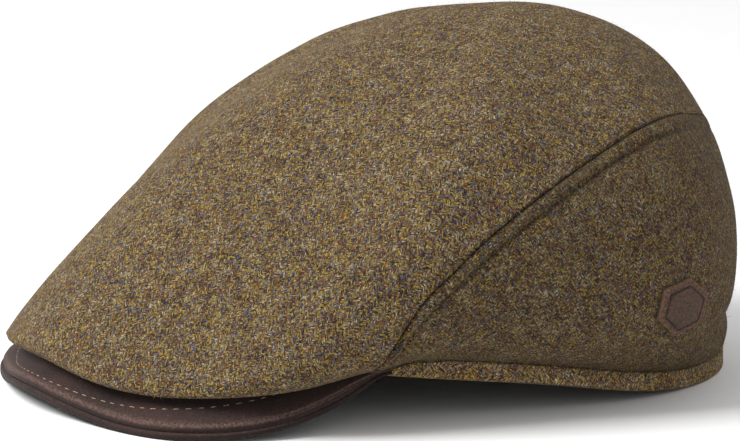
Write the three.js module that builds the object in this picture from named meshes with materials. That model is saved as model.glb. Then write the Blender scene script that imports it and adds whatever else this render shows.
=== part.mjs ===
// Flat cap in tweed with a curved leather peak, as an assembly of its sewn pieces.
// Millimetres, +Z up. The peak points to -Y, and the wearer's left side is +X.
// The pieces are laid out round the middle of the head opening. At the end the whole cap is
// moved so that its origin is the middle of its box, on the surface it rests on.
import * as THREE from 'three';

// Head opening, measured over the band
const openingLength = 200;
const openingWidth = 162;
const openingSquareness = 2.15;

// Band round the opening
const bandHeight = 6.2;
const bandWall = 2.4;
// How far the band's lower edge rises above the resting surface at the front
const frontRise = 23.5;

// Crown
const crownHeight = 118;
const crownWall = 2;
// The crown's reach past the opening: over the peak in front, and over the ears
const crownFrontReach = 42;
const crownSideBulge = 19;
// The highest point lies this far behind the middle of the opening
const topSetback = 27;
// Radius of the rounded top, seen from the side and from the front
const topRadiusLengthways = 135;
const topRadiusCrossways = 85;
// Roll of the cloth from the hem out to the widest line: how far its underside runs out flat,
// in front and at the sides, how much it rises on the way, and how low it turns upright
const rollReachFront = 0.8;
const rollReachSide = 0.55;
const rollRiseFlat = 0.12;
const rollRiseUpright = 0.45;

// Peak: two leathers, the lower one a little longer
const peakReach = 43.5;
const peakUpperWall = 2.2;
const peakLowerWall = 1.8;
const peakLip = 1;
const peakEdgeBevel = 0.8;
const peakCamber = 1;
// How far the middle of the peak's edge stands above its two low corners
const peakEdgeRise = 5;
// Half the angle that the peak takes up, from the middle of the front
const templeAngle = 55;

// Where the crown's hem climbs from the peak onto the band
const hemBandClearance = 2.3;
const hemClimbAngle = 6;
const hemRest = 0.5;
// The row of the peak's faces that follows the hem stays inside its edge by this share
const maxHemShare = 0.9;

// Seams
const seamGap = 0.3;
const sideSeamAngle = 49;
const seamTipAngle = 1;

// Six-sided leather patch on the wearer's left
const patchWidth = 20.5;
const patchHeight = 19;
const patchWall = 1.6;
const patchAngle = 112;
const patchUp = 32.8;
const patchTurn = -6.4;

// Steps of the faceted walls. Above 1, a crowding draws them towards the hem or the front
const frontColumns = 9;
const sideColumns = 22;
const sideCrowding = 1.2;
const crownRowCount = 16;
const crownRowCrowding = 1.35;
const sideRowCount = 9;
const sideRowCrowding = 1.2;
const patchRings = 4;

// Small steps along the crown for its slope: degrees, and a share of its wall's length
const slopeTurn = 0.4;
const slopeUp = 0.004;

// Longest handle of the curve over the top, as a share of its way in plan
const maxTopHandle = 0.9;

// Tables. A row's angle runs from the middle of the front, 0, to the middle of the back, 180,
// and both sides of the cap are alike. Curves through the rows are level at both ends.

// rise: the band's lower edge, as a share of frontRise
const bandRows = [
  { angle: 0, rise: 1 },
  { angle: 45, rise: 0.71 },
  { angle: 70, rise: 0.56 },
  { angle: 95, rise: 0.36 },
  { angle: 120, rise: 0.1 },
  { angle: 150, rise: 0 },
];

// reach: the peak's edge, as a share of peakReach. edge: its height, as a share of peakEdgeRise.
// hem: where the crown is sewn down, as a share of the peak's width there
const peakRows = [
  { angle: 0, reach: 1, edge: 1, hem: 0.79 },
  { angle: 15, reach: 0.93, edge: 0.2, hem: 0.77 },
  { angle: 30, reach: 0.9, edge: 0.14, hem: 0.7 },
  { angle: 42, reach: 0.5, edge: 0.85, hem: 0.64 },
  { angle: templeAngle, reach: 0.07, edge: 2.7, hem: 0.66 },
];

// front, side: the crown's widest line, as shares of crownFrontReach and crownSideBulge.
// height: that line's height, as a share of crownHeight.
// full: how upright the wall stands above it, from 0, a straight slope, to 1, square
const crownRows = [
  { angle: 0, front: 1, side: 0, height: 0.178, full: 0.02 },
  { angle: 22, front: 0.914, side: 0, height: 0.114, full: 0.01 },
  { angle: 45, front: 0.56, side: 0.29, height: 0.212, full: 0.213 },
  { angle: 68, front: 0.04, side: 0.89, height: 0.4, full: 0.705 },
  { angle: 90, front: 0, side: 1, height: 0.385, full: 0.63 },
  { angle: 120, front: 0, side: 1.02, height: 0.373, full: 0.565 },
  { angle: 150, front: 0, side: 0.2, height: 0.352, full: 0.47 },
  { angle: 180, front: 0, side: 0.06, height: 0.35, full: 0.466 },
];

// up: the side seam's height up the crown's wall, as a share of the wall's length from hem to top.
// The seam leaves the hem at sideSeamAngle, and the row before it gives it its slope there
const seamRows = [
  { angle: sideSeamAngle - 9, up: -0.09 },
  { angle: sideSeamAngle, up: 0 },
  { angle: 60, up: 0.15 },
  { angle: 76, up: 0.305 },
  { angle: 98, up: 0.472 },
  { angle: 124, up: 0.55 },
  { angle: 152, up: 0.51 },
  { angle: 180, up: 0.49 },
];

// Soft dents in the crown's wall. wide: half width in degrees. up, tall: place and half height,
// as shares of the wall's length. depth: a share of crownWall
const dentRows = [
  { angle: 150, wide: 26, up: 0.1, tall: 0.03, depth: 1 },
  { angle: -146, wide: 30, up: 0.11, tall: 0.035, depth: 0.9 },
  { angle: 128, wide: 16, up: 0.27, tall: 0.05, depth: 0.4 },
  { angle: -112, wide: 18, up: 0.24, tall: 0.06, depth: 0.45 },
  { angle: 38, wide: 14, up: 0.2, tall: 0.07, depth: 0.5 },
  { angle: -34, wide: 13, up: 0.24, tall: 0.08, depth: 0.55 },
];

// Smooth curve through a table's column, level at both ends and flat beyond them
function columnCurve(rows, column) {
  const at = rows.map((row) => row.angle);
  const value = rows.map((row) => row[column]);
  const last = rows.length - 1;
  const slope = new Array(rows.length).fill(0);
  const share = new Array(rows.length).fill(0);
  for (let i = 1; i < last; i++) {
    const before = 1 / (at[i] - at[i - 1]);
    const after = 1 / (at[i + 1] - at[i]);
    const pull = 3 * ((value[i] - value[i - 1]) * before ** 2 + (value[i + 1] - value[i]) * after ** 2);
    const pivot = 2 * (before + after) - before * share[i - 1];
    share[i] = after / pivot;
    slope[i] = (pull - before * slope[i - 1]) / pivot;
  }
  for (let i = last - 1; i > 0; i--) {
    slope[i] -= share[i] * slope[i + 1];
  }
  return (angle) => {
    const x = THREE.MathUtils.clamp(angle, at[0], at[last]);
    let i = 0;
    while (i < last - 1 && x > at[i + 1]) {
      i++;
    }
    const span = at[i + 1] - at[i];
    const t = (x - at[i]) / span;
    const start = (1 + 2 * t) * (1 - t) ** 2 * value[i] + t * (1 - t) ** 2 * span * slope[i];
    const end = t * t * (3 - 2 * t) * value[i + 1] + t * t * (t - 1) * span * slope[i + 1];
    return start + end;
  };
}

const bandRise = columnCurve(bandRows, 'rise');
const peakShare = columnCurve(peakRows, 'reach');
const peakEdge = columnCurve(peakRows, 'edge');
const hemShare = columnCurve(peakRows, 'hem');
const crownFront = columnCurve(crownRows, 'front');
const crownSide = columnCurve(crownRows, 'side');
const crownWidestHeight = columnCurve(crownRows, 'height');
const crownFullness = columnCurve(crownRows, 'full');
const seamUp = columnCurve(seamRows, 'up');

const peakWall = peakLowerWall + seamGap + peakUpperWall;

// 0 before the start, 1 after the end, and smooth between
const fade = (x, start, end) => THREE.MathUtils.smoothstep(x, start, end);

// Level direction out from the middle of the opening; signed angles turn towards the wearer's left
function outward(angle) {
  const turn = THREE.MathUtils.degToRad(angle);
  return new THREE.Vector2(Math.sin(turn), -Math.cos(turn));
}

// Plan radius of the band's outer face
function openingRadius(angle) {
  const out = outward(angle);
  const across = Math.abs(out.x) / (openingWidth / 2);
  const along = Math.abs(out.y) / (openingLength / 2);
  return (across ** openingSquareness + along ** openingSquareness) ** (-1 / openingSquareness);
}

const bandBottom = (angle) => frontRise * bandRise(Math.abs(angle));
const peakWidth = (angle) => peakReach * peakShare(Math.abs(angle));

// Underside of the peak. share is 0 at the band and 1 at the upper leather's edge
function peakBottom(angle, share) {
  const side = Math.abs(angle);
  const straight = THREE.MathUtils.lerp(bandBottom(side), peakEdgeRise * peakEdge(side), share);
  const camber = peakCamber * peakShare(side) * 4 * share * (1 - share);
  return Math.max(straight + camber, 0);
}

// How far past the opening the hem is sewn to the peak. At the temples it clears the band
const hemPast = (angle) => Math.hypot(hemShare(angle) * peakWidth(angle), hemBandClearance);

// Plan radius and height of the crown's hem. It lies on the peak in front, climbs beside the
// band at the temples, and sits on top of the band from there to the back
function crownHem(angle) {
  const side = Math.abs(angle);
  const climbed = templeAngle + hemClimbAngle;
  const onBand = -seamGap;
  const past = THREE.MathUtils.lerp(hemPast(side), onBand, fade(side, climbed, climbed + hemClimbAngle));
  const share = Math.min(past / peakWidth(side), 1);
  const low = peakBottom(side, Math.max(share, 0)) + peakWall + hemRest;
  const high = bandBottom(side) + bandHeight + seamGap;
  const climb = fade(side, templeAngle - 2, climbed);
  return { radius: openingRadius(side) + past, height: THREE.MathUtils.lerp(low, high, climb) };
}

// The crown's outer line from hem to top at one angle, as two joined Bezier curves:
// the roll from the hem out to the widest line, and the wall from there to the top
function makeCrownLine(angle) {
  const side = Math.abs(angle);
  const out = outward(angle);
  const hem = crownHem(side);
  const widest = openingRadius(side) + crownFrontReach * crownFront(side) + crownSideBulge * crownSide(side);
  const widestHeight = crownHeight * crownWidestHeight(side);
  const at = (radius, height) => new THREE.Vector3(out.x * radius, out.y * radius, height);

  const turned = fade(side, templeAngle - 3, templeAngle + 2 * hemClimbAngle);
  const rollReach = THREE.MathUtils.lerp(rollReachFront, rollReachSide, turned);
  const rollRise = widestHeight - hem.height;
  const roll = new THREE.CubicBezierCurve3(
    at(hem.radius, hem.height),
    at(THREE.MathUtils.lerp(hem.radius, widest, rollReach), hem.height + rollRiseFlat * rollRise),
    at(widest, hem.height + rollRiseUpright * rollRise),
    at(widest, widestHeight),
  );

  const foot = at(widest, widestHeight);
  const top = new THREE.Vector3(0, topSetback, crownHeight);
  const plan = new THREE.Vector2(foot.x - top.x, foot.y - top.y);
  const planLength = plan.length();
  const fullness = crownFullness(side);
  const bend = (plan.y / planLength) ** 2 / topRadiusLengthways + (plan.x / planLength) ** 2 / topRadiusCrossways;
  const wallRise = crownHeight - widestHeight;
  const topHandle = Math.min(Math.sqrt((2 / 3) * wallRise * (1 - fullness) / bend), maxTopHandle * planLength);
  const wall = new THREE.CubicBezierCurve3(
    foot,
    foot.clone().setZ(widestHeight + fullness * wallRise),
    new THREE.Vector3(
      top.x + (plan.x * topHandle) / planLength,
      top.y + (plan.y * topHandle) / planLength,
      crownHeight,
    ),
    top,
  );

  const line = new THREE.CurvePath();
  line.add(roll);
  line.add(wall);
  return line;
}

const crownLines = new Map();

function crownLine(angle) {
  const wrapped = angle > 180 ? angle - 360 : angle < -180 ? angle + 360 : angle;
  const key = wrapped.toFixed(4);
  if (!crownLines.has(key)) {
    crownLines.set(key, makeCrownLine(wrapped));
  }
  return crownLines.get(key);
}

// A point of the crown's undented outer line. up runs from 0, the hem, to 1, the top
const crownPoint = (angle, up) => crownLine(angle).getPoint(THREE.MathUtils.clamp(up, 0, 1));

function crownNormal(angle, up) {
  if (up > 0.9999) {
    return new THREE.Vector3(0, 0, 1);
  }
  const along = crownPoint(angle + slopeTurn, up).sub(crownPoint(angle - slopeTurn, up));
  const rising = crownPoint(angle, up + slopeUp).sub(crownPoint(angle, up - slopeUp));
  return along.cross(rising).normalize();
}

// Depth of all the soft dents at a place on the crown
function dentDepth(angle, up) {
  let depth = 0;
  for (const dent of dentRows) {
    const aside = (angle - dent.angle) / dent.wide;
    const above = (up - dent.up) / dent.tall;
    depth += dent.depth * crownWall * Math.exp(-(aside ** 2) - above ** 2);
  }
  return depth;
}

// Lifts a point of the crown clear of the peak's upper face, if it is lower
function restOnPeak(point) {
  const angle = THREE.MathUtils.radToDeg(Math.atan2(point.x, -point.y));
  const share = (Math.hypot(point.x, point.y) - openingRadius(angle)) / peakWidth(angle);
  if (Math.abs(angle) < templeAngle + 1 && share > 0 && share < 1) {
    point.z = Math.max(point.z, peakBottom(angle, share) + peakWall + hemRest);
  }
  return point;
}

// A point inside the crown's wall: 0 is its outer face, and more is deeper
function crownSkin(angle, up, depth) {
  const inward = crownNormal(angle, up).multiplyScalar(-(depth + dentDepth(angle, up)));
  return restOnPeak(crownPoint(angle, up).add(inward));
}

// One closed body through a row of closed sections. Each section is a strip: its first half runs
// along one face, and its second half runs back along the other. Equal points are one corner
function loftSections(sections, ringed) {
  const size = sections[0].length;
  const half = size / 2;
  const corners = [];
  const numbers = new Map();
  const index = sections.map((section) => section.map((point) => {
    const key = point.toArray().map((value) => value.toFixed(5)).join(' ');
    if (!numbers.has(key)) {
      numbers.set(key, corners.length);
      corners.push(point);
    }
    return numbers.get(key);
  }));
  const faces = [];
  const addTriangle = (a, b, c) => {
    if (a !== b && b !== c && c !== a) {
      faces.push(a, b, c);
    }
  };
  // A four-sided face is split along its shorter diagonal, so facing walls are split alike
  const addQuad = (a, b, c, d) => {
    if (corners[a].distanceTo(corners[c]) < corners[b].distanceTo(corners[d])) {
      addTriangle(a, b, c);
      addTriangle(a, c, d);
    } else {
      addTriangle(a, b, d);
      addTriangle(b, c, d);
    }
  };
  const spans = ringed ? sections.length : sections.length - 1;
  for (let s = 0; s < spans; s++) {
    const here = index[s];
    const next = index[(s + 1) % sections.length];
    for (let i = 0; i < size; i++) {
      const j = (i + 1) % size;
      addQuad(here[i], next[i], next[j], here[j]);
    }
  }
  if (!ringed) {
    const first = index[0];
    const final = index[sections.length - 1];
    for (let i = 0; i < half - 1; i++) {
      const back = size - 1 - i;
      addQuad(first[i], first[i + 1], first[back - 1], first[back]);
      addQuad(final[i], final[back], final[back - 1], final[i + 1]);
    }
  }
  const geometry = new THREE.BufferGeometry().setFromPoints(corners);
  geometry.setIndex(faces);
  geometry.computeVertexNormals();
  return geometry;
}

// A section of the crown's wall between two places up one line. Rows crowd towards the hem
function crownSection(angle, from, to, rowCount, crowding) {
  const outer = [];
  const inner = [];
  for (let row = 0; row <= rowCount; row++) {
    const up = from + (to - from) * (row / rowCount) ** crowding;
    outer.push(crownSkin(angle, up, 0));
    inner.unshift(crownSkin(angle, up, crownWall));
  }
  return outer.concat(inner);
}

// Angles of the crown's columns on one side, from the middle of the front to the middle of the back
const seamSweep = 180 - sideSeamAngle - seamTipAngle;
const frontAngles = Array.from({ length: frontColumns + 1 }, (_, i) => (sideSeamAngle * i) / frontColumns);
const seamAngles = Array.from(
  { length: sideColumns },
  (_, i) => sideSeamAngle + seamTipAngle + seamSweep * (i / sideColumns) ** sideCrowding,
);

// Angles of the columns all the way round, and those of the peak, from its right end to its left
const mirrored = (angles) => angles.map((angle) => -angle).reverse();
const halfRound = [...frontAngles, ...seamAngles];
const ringAngles = [...halfRound, 180, ...mirrored(halfRound.slice(1))];
const halfPeak = [...halfRound.filter((angle) => angle < templeAngle - 1), templeAngle];
const peakAngles = [...mirrored(halfPeak.slice(1)), ...halfPeak];

// Half of the seam's gap, measured up the wall, as a share of the wall's length at an angle.
// The steeper the seam runs, the taller the gap is
function halfGapUp(angle) {
  const lineLength = crownLine(angle).getLength();
  const place = crownPoint(angle, seamUp(angle));
  const stepLength = THREE.MathUtils.degToRad(2) * Math.hypot(place.x, place.y);
  const slope = ((seamUp(angle + 1) - seamUp(angle - 1)) * lineLength) / stepLength;
  return (0.5 * seamGap * Math.hypot(1, slope)) / lineLength;
}

// Top panel: all of the crown in front, and the part above the side seams behind
function makeCrownTop() {
  const sections = ringAngles.map((angle) => {
    const apart = Math.abs(angle);
    const from = apart <= sideSeamAngle ? 0 : seamUp(apart) + halfGapUp(apart);
    return crownSection(angle, from, 1, crownRowCount, crownRowCrowding);
  });
  return loftSections(sections, true);
}

// Side panel, below its side seam and in front of the seam at the middle of the back.
// Its front tip is cut off blunt, a little behind the place where the side seam starts
function makeSidePanel(sign) {
  const backGap = THREE.MathUtils.radToDeg(seamGap / 2 / openingRadius(180));
  const angles = [...seamAngles, 180 - backGap];
  const sections = angles.map((angle) => {
    const to = seamUp(angle) - halfGapUp(angle);
    return crownSection(sign * angle, 0, to, sideRowCount, sideRowCrowding);
  });
  if (sign < 0) {
    sections.reverse();
  }
  return loftSections(sections, false);
}

// Band: a tweed ring round the opening
function makeBand() {
  const sections = ringAngles.map((angle) => {
    const out = outward(angle);
    const bottom = bandBottom(angle);
    const outer = openingRadius(angle);
    const inner = outer - bandWall;
    const at = (radius, height) => new THREE.Vector3(out.x * radius, out.y * radius, height);
    return [
      at(outer, bottom),
      at(outer, bottom + bandHeight),
      at(inner, bottom + bandHeight),
      at(inner, bottom),
    ];
  });
  return loftSections(sections, true);
}

// One leather of the peak, from the band's front face out to its own edge. floor is its height over
// the peak's underside. One row of its faces follows the crown's hem
function makePeakLeather(floor, thickness, lip, bevel) {
  const sections = peakAngles.map((angle) => {
    const out = outward(angle);
    const inner = openingRadius(angle) + seamGap;
    const width = peakWidth(angle) - seamGap;
    const hem = Math.min(hemPast(Math.abs(angle)) / peakWidth(angle), maxHemShare);
    const shares = [1, (1 + hem) / 2, hem, (2 / 3) * hem, hem / 3, 0];
    const at = (share, extra, rise) => {
      const radius = inner + width * share + extra;
      return new THREE.Vector3(out.x * radius, out.y * radius, peakBottom(angle, share) + rise);
    };
    const edge = [at(1, lip, floor), at(1, lip, floor + thickness - bevel)];
    const top = shares.map((share) => at(share, share === 1 ? -bevel : 0, floor + thickness));
    const bottom = shares.map((share) => at(share, 0, floor)).reverse();
    return [edge[1], ...top, ...bottom, edge[0]];
  });
  return loftSections(sections, false);
}

// Six-sided patch that follows the crown's wall, with the seam gap under it
function makeSidePatch() {
  const rings = patchRings;
  const upScale = 1 / crownLine(patchAngle).getLength();
  const center = patchUp * upScale;
  const spot = crownPoint(patchAngle, center);
  const turnScale = THREE.MathUtils.radToDeg(1 / Math.hypot(spot.x, spot.y));
  const tilt = THREE.MathUtils.degToRad(patchTurn);
  const corner = (number) => {
    const turn = (number * Math.PI) / 3;
    return new THREE.Vector2((Math.sin(turn) * patchWidth) / Math.sqrt(3), (Math.cos(turn) * patchHeight) / 2);
  };
  const sheet = (depth) => {
    const points = [new THREE.Vector2()];
    for (let ring = 1; ring <= rings; ring++) {
      for (let number = 0; number < 6; number++) {
        for (let step = 0; step < ring; step++) {
          const onRim = corner(number).lerp(corner(number + 1), step / ring);
          points.push(onRim.multiplyScalar(ring / rings));
        }
      }
    }
    return points.map((point) => {
      point.rotateAround(new THREE.Vector2(), tilt);
      return crownSkin(patchAngle + point.x * turnScale, center + point.y * upScale, depth);
    });
  };
  const top = sheet(-seamGap - patchWall);
  const bottom = sheet(-seamGap);
  const ringStart = (ring) => 1 + 3 * ring * (ring - 1);
  const faces = [];
  const addFace = (a, b, c) => {
    faces.push(a, c, b, a + top.length, b + top.length, c + top.length);
  };
  for (let ring = 1; ring <= rings; ring++) {
    const inner = (k) => (ring === 1 ? 0 : ringStart(ring - 1) + (k % (6 * (ring - 1))));
    const outer = (k) => ringStart(ring) + (k % (6 * ring));
    for (let number = 0; number < 6; number++) {
      for (let step = 0; step < ring; step++) {
        const o = number * ring + step;
        const n = number * (ring - 1) + step;
        addFace(outer(o), outer(o + 1), inner(n));
        if (step < ring - 1) {
          addFace(inner(n), outer(o + 1), inner(n + 1));
        }
      }
    }
  }
  const rim = 6 * rings;
  for (let k = 0; k < rim; k++) {
    const here = ringStart(rings) + k;
    const next = ringStart(rings) + ((k + 1) % rim);
    faces.push(here, next, next + top.length, here, next + top.length, here + top.length);
  }
  const geometry = new THREE.BufferGeometry().setFromPoints([...top, ...bottom]);
  geometry.setIndex(faces);
  geometry.computeVertexNormals();
  return geometry;
}

const tweed = new THREE.MeshStandardMaterial({ color: 0x5e4e34, roughness: 0.95, metalness: 0 });
const darkTweed = new THREE.MeshStandardMaterial({ color: 0x54462f, roughness: 0.95, metalness: 0 });
const leather = new THREE.MeshStandardMaterial({ color: 0x4b3833, roughness: 0.7, metalness: 0 });
const patchLeather = new THREE.MeshStandardMaterial({ color: 0x5f3d31, roughness: 0.65, metalness: 0 });

function addPiece(group, name, geometry, material) {
  const mesh = new THREE.Mesh(geometry, material);
  mesh.name = name;
  group.add(mesh);
}

const cap = new THREE.Group();
addPiece(cap, 'crown_top', makeCrownTop(), tweed);
addPiece(cap, 'side_panel_left', makeSidePanel(1), darkTweed);
addPiece(cap, 'side_panel_right', makeSidePanel(-1), darkTweed);
addPiece(cap, 'band', makeBand(), tweed);
addPiece(cap, 'peak_top', makePeakLeather(peakLowerWall + seamGap, peakUpperWall, 0, peakEdgeBevel), leather);
addPiece(cap, 'peak_under', makePeakLeather(0, peakLowerWall, peakLip, 0), leather);
addPiece(cap, 'side_patch', makeSidePatch(), patchLeather);

// The origin goes to the middle of the cap's box, on the surface it rests on
const bounds = new THREE.Box3().setFromObject(cap);
cap.position.set(0, -(bounds.min.y + bounds.max.y) / 2, -bounds.min.z);

export default cap;
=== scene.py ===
# %% [markdown]
# # A tweed flat cap with a leather peak
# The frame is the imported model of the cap. This lesson dresses it piece by piece: first the
# camera and the light, then the shape of the cloth, then the weave, the leather and the threads.
# Blender works in metres. The tables below are in millimetres, because a hatter thinks in them.

import math

import bmesh
import bpy
import numpy as np
from mathutils import Matrix, Vector


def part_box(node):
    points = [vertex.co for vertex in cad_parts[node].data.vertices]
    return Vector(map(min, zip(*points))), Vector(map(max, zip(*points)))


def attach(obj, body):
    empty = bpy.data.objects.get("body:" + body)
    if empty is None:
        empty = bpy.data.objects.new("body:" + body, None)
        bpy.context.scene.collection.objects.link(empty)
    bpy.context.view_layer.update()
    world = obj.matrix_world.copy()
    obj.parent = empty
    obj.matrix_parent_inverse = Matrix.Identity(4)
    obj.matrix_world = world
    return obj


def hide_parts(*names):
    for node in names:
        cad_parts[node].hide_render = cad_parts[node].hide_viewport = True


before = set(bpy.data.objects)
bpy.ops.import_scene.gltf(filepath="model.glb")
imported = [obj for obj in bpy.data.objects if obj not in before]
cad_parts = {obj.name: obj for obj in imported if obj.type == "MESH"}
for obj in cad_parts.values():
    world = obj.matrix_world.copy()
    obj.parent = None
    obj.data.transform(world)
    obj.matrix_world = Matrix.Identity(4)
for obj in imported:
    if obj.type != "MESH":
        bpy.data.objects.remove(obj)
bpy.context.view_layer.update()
MM = 0.001
print("pieces in the frame:", ", ".join(sorted(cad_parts)))

# %% [markdown]
# ## Where the head opening is
# Every piece of the cap is laid out round the middle of the head opening, so that point is
# found first. The band's box gives it: the band runs round the opening at a known length.

# %% Sizes of the cap, in millimetres
OPENING_LENGTH = 200
OPENING_WIDTH = 162
OPENING_SQUARENESS = 2.15
BAND_HEIGHT = 6.2
BAND_WALL = 2.4
FRONT_RISE = 23.5
CROWN_HEIGHT = 118
CROWN_WALL = 2
FRONT_REACH = 42
SIDE_BULGE = 19
TOP_SETBACK = 27
TOP_RADIUS_LENGTHWAYS = 135
TOP_RADIUS_CROSSWAYS = 85
PEAK_REACH = 43.5
PEAK_UPPER_WALL = 2.2
PEAK_LOWER_WALL = 1.8
PEAK_LIP = 1
PEAK_CAMBER = 1
PEAK_EDGE_RISE = 5
TEMPLE_ANGLE = 55
SEAM_GAP = 0.3
SEAM_START = 49

band_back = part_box("band")[1].y
RIM_CENTER = Vector((0, band_back - OPENING_LENGTH / 2 * MM, 0))
print("middle of the head opening:", [round(value / MM, 1) for value in RIM_CENTER])

# %% [markdown]
# ## The camera
# The photograph looks at the cap from its left and front, from a little above. A long lens far
# away keeps the outline as flat as it is there.

# %% Camera
VIEW_TURN = math.radians(62)
VIEW_LIFT = math.radians(12.35)
VIEW_ROLL = math.radians(0.6)
VIEW_DISTANCE = 1.6
LENS = 236.5
AIM_ASIDE = -0.0196
AIM_UP = 0.0473


def add_object(name, data):
    """Puts a mesh, a lamp or a camera into the scene."""
    thing = bpy.data.objects.new(name, data)
    bpy.context.collection.objects.link(thing)
    return thing


toward_camera = Vector((
    math.sin(VIEW_TURN) * math.cos(VIEW_LIFT),
    -math.cos(VIEW_TURN) * math.cos(VIEW_LIFT),
    math.sin(VIEW_LIFT),
))
view_right = Vector((math.cos(VIEW_TURN), math.sin(VIEW_TURN), 0))
view_up = toward_camera.cross(view_right)
camera_data = bpy.data.cameras.new("camera")
camera_data.lens = LENS
camera_data.sensor_width = 36
camera_data.clip_start = 0.05
camera_data.clip_end = 30
camera = add_object("camera", camera_data)
camera.location = RIM_CENTER + toward_camera * VIEW_DISTANCE
aim = RIM_CENTER + view_right * AIM_ASIDE + view_up * AIM_UP
turn = (aim - camera.location).to_track_quat("-Z", "Y").to_matrix()
camera.rotation_mode = "QUATERNION"
camera.rotation_quaternion = (turn @ Matrix.Rotation(VIEW_ROLL, 3, "Z")).to_quaternion()
bpy.context.scene.camera = camera
print("camera at", [round(value, 3) for value in camera.location])

# %% [markdown]
# ## Small helpers for nodes
# Materials and Geometry Nodes trees are both made of nodes. One helper places a node, sets its
# options and joins its inputs, so the recipes below read as a list of steps.

# %% Node helpers
def feed(tree, node, inputs):
    """Joins each input to the socket that is given for it, or sets its plain value."""
    for label, source in inputs.items():
        if isinstance(source, bpy.types.NodeSocket):
            tree.links.new(source, node.inputs[label])
        else:
            node.inputs[label].default_value = source


def place(tree, kind, inputs=None, **options):
    node = tree.nodes.new(kind)
    for option, value in options.items():
        setattr(node, option, value)
    feed(tree, node, inputs or {})
    return node


def reckon(tree, operation, *values):
    node = place(tree, "ShaderNodeMath", dict(enumerate(values)), operation=operation)
    return node.outputs[0]


def paint(red, green, blue):
    """A colour as a painter reads it from 0 to 255, in the linear values that a shader takes."""
    shares = [value / 255 for value in (red, green, blue)]
    return [s / 12.92 if s <= 0.04045 else ((s + 0.055) / 1.055) ** 2.4 for s in shares] + [1]


def ramp(tree, factor, stops, interpolation="LINEAR"):
    node = place(tree, "ShaderNodeValToRGB", {0: factor})
    scale = node.color_ramp
    scale.interpolation = interpolation
    while len(scale.elements) < len(stops):
        scale.elements.new(1)
    for element, (position, color) in zip(scale.elements, stops):
        element.position = position
        element.color = color
    return node.outputs["Color"]


def new_group(name, kind, inputs, outputs):
    tree = bpy.data.node_groups.new(name, kind)
    for side, sockets in (("INPUT", inputs), ("OUTPUT", outputs)):
        for label, socket_type, *value in sockets:
            socket = tree.interface.new_socket(label, in_out=side, socket_type=socket_type)
            if value:
                socket.default_value = value[0]
    return tree, tree.nodes.new("NodeGroupInput"), tree.nodes.new("NodeGroupOutput")


FLOAT, COLOR, VECTOR = "NodeSocketFloat", "NodeSocketColor", "NodeSocketVector"
GEOMETRY, OBJECT, MATERIAL = "NodeSocketGeometry", "NodeSocketObject", "NodeSocketMaterial"
INTEGER = "NodeSocketInt"


def new_material(name):
    material = bpy.data.materials.new(name)
    material.use_nodes = True
    return material, material.node_tree, material.node_tree.nodes["Principled BSDF"]


print("node helpers are ready")

# %% [markdown]
# ## The floor and the light
# A pale sweep of paper under and behind the cap, a big soft lamp from the upper left, a weak
# one from the right and an even white sky give the clean light of a shop's photograph.

# %% Floor, sky and lamps
def make_sweep():
    """A floor that curves up into a wall behind the cap. It can be seen through from its back."""
    away = -Vector((toward_camera.x, toward_camera.y, 0)).normalized()
    front, reach, bend, height, half_width, steps = -3.0, 1.6, 0.8, 2.4, 4.0, 16
    line = [(front, 0.0), (reach, 0.0)]
    for step in range(1, steps + 1):
        angle = math.pi / 2 * step / steps
        line.append((reach + bend * math.sin(angle), bend * (1 - math.cos(angle))))
    line.append((reach + bend, height))
    points = [
        away * along + view_right * side * half_width + Vector((0, 0, up))
        for along, up in line
        for side in (-1, 1)
    ]
    faces = [(2 * i, 2 * i + 1, 2 * i + 3, 2 * i + 2) for i in range(len(line) - 1)]
    mesh = bpy.data.meshes.new("floor")
    mesh.from_pydata(points, [], faces)
    mesh.shade_smooth()
    material, tree, shader = new_material("paper")
    feed(tree, shader, {"Base Color": (0.9, 0.9, 0.9, 1), "Roughness": 0.9})
    facing = place(tree, "ShaderNodeNewGeometry")
    clear = place(tree, "ShaderNodeBsdfTransparent")
    paper = place(tree, "ShaderNodeMixShader", {
        0: facing.outputs["Backfacing"], 1: shader.outputs[0], 2: clear.outputs[0],
    })
    feed(tree, tree.nodes["Material Output"], {"Surface": paper.outputs[0]})
    mesh.materials.append(material)
    return add_object("floor", mesh)


def add_lamp(name, power, size, aside, up, near):
    lamp = bpy.data.lights.new(name, "AREA")
    lamp.energy = power
    lamp.size = size
    holder = add_object(name, lamp)
    flat = Vector((toward_camera.x, toward_camera.y, 0)).normalized()
    holder.location = RIM_CENTER + view_right * aside + Vector((0, 0, up)) + flat * near
    holder.rotation_mode = "QUATERNION"
    holder.rotation_quaternion = (RIM_CENTER - holder.location).to_track_quat("-Z", "Y")


floor = make_sweep()
add_lamp("key_lamp", 34, 0.8, aside=-1.15, up=1.15, near=0.5)
add_lamp("fill_lamp", 0.6, 1.2, aside=1.1, up=0.7, near=1.0)
world = bpy.data.worlds.new("sky")
bpy.context.scene.world = world
world.use_nodes = True
feed(world.node_tree, world.node_tree.nodes["Background"], {"Color": (1, 1, 1, 1), "Strength": 0.7})
bpy.context.scene.view_settings.view_transform = "Standard"
print("floor, sky and lamps are in place")

# %% [markdown]
# ## The shape of the cap
# The cap's outline changes smoothly round the head. Short tables say how, at a few angles from
# the middle of the front, 0, to the middle of the back, 180. A smooth curve runs through each
# column, so the cloth shows no corners between the rows.

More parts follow.
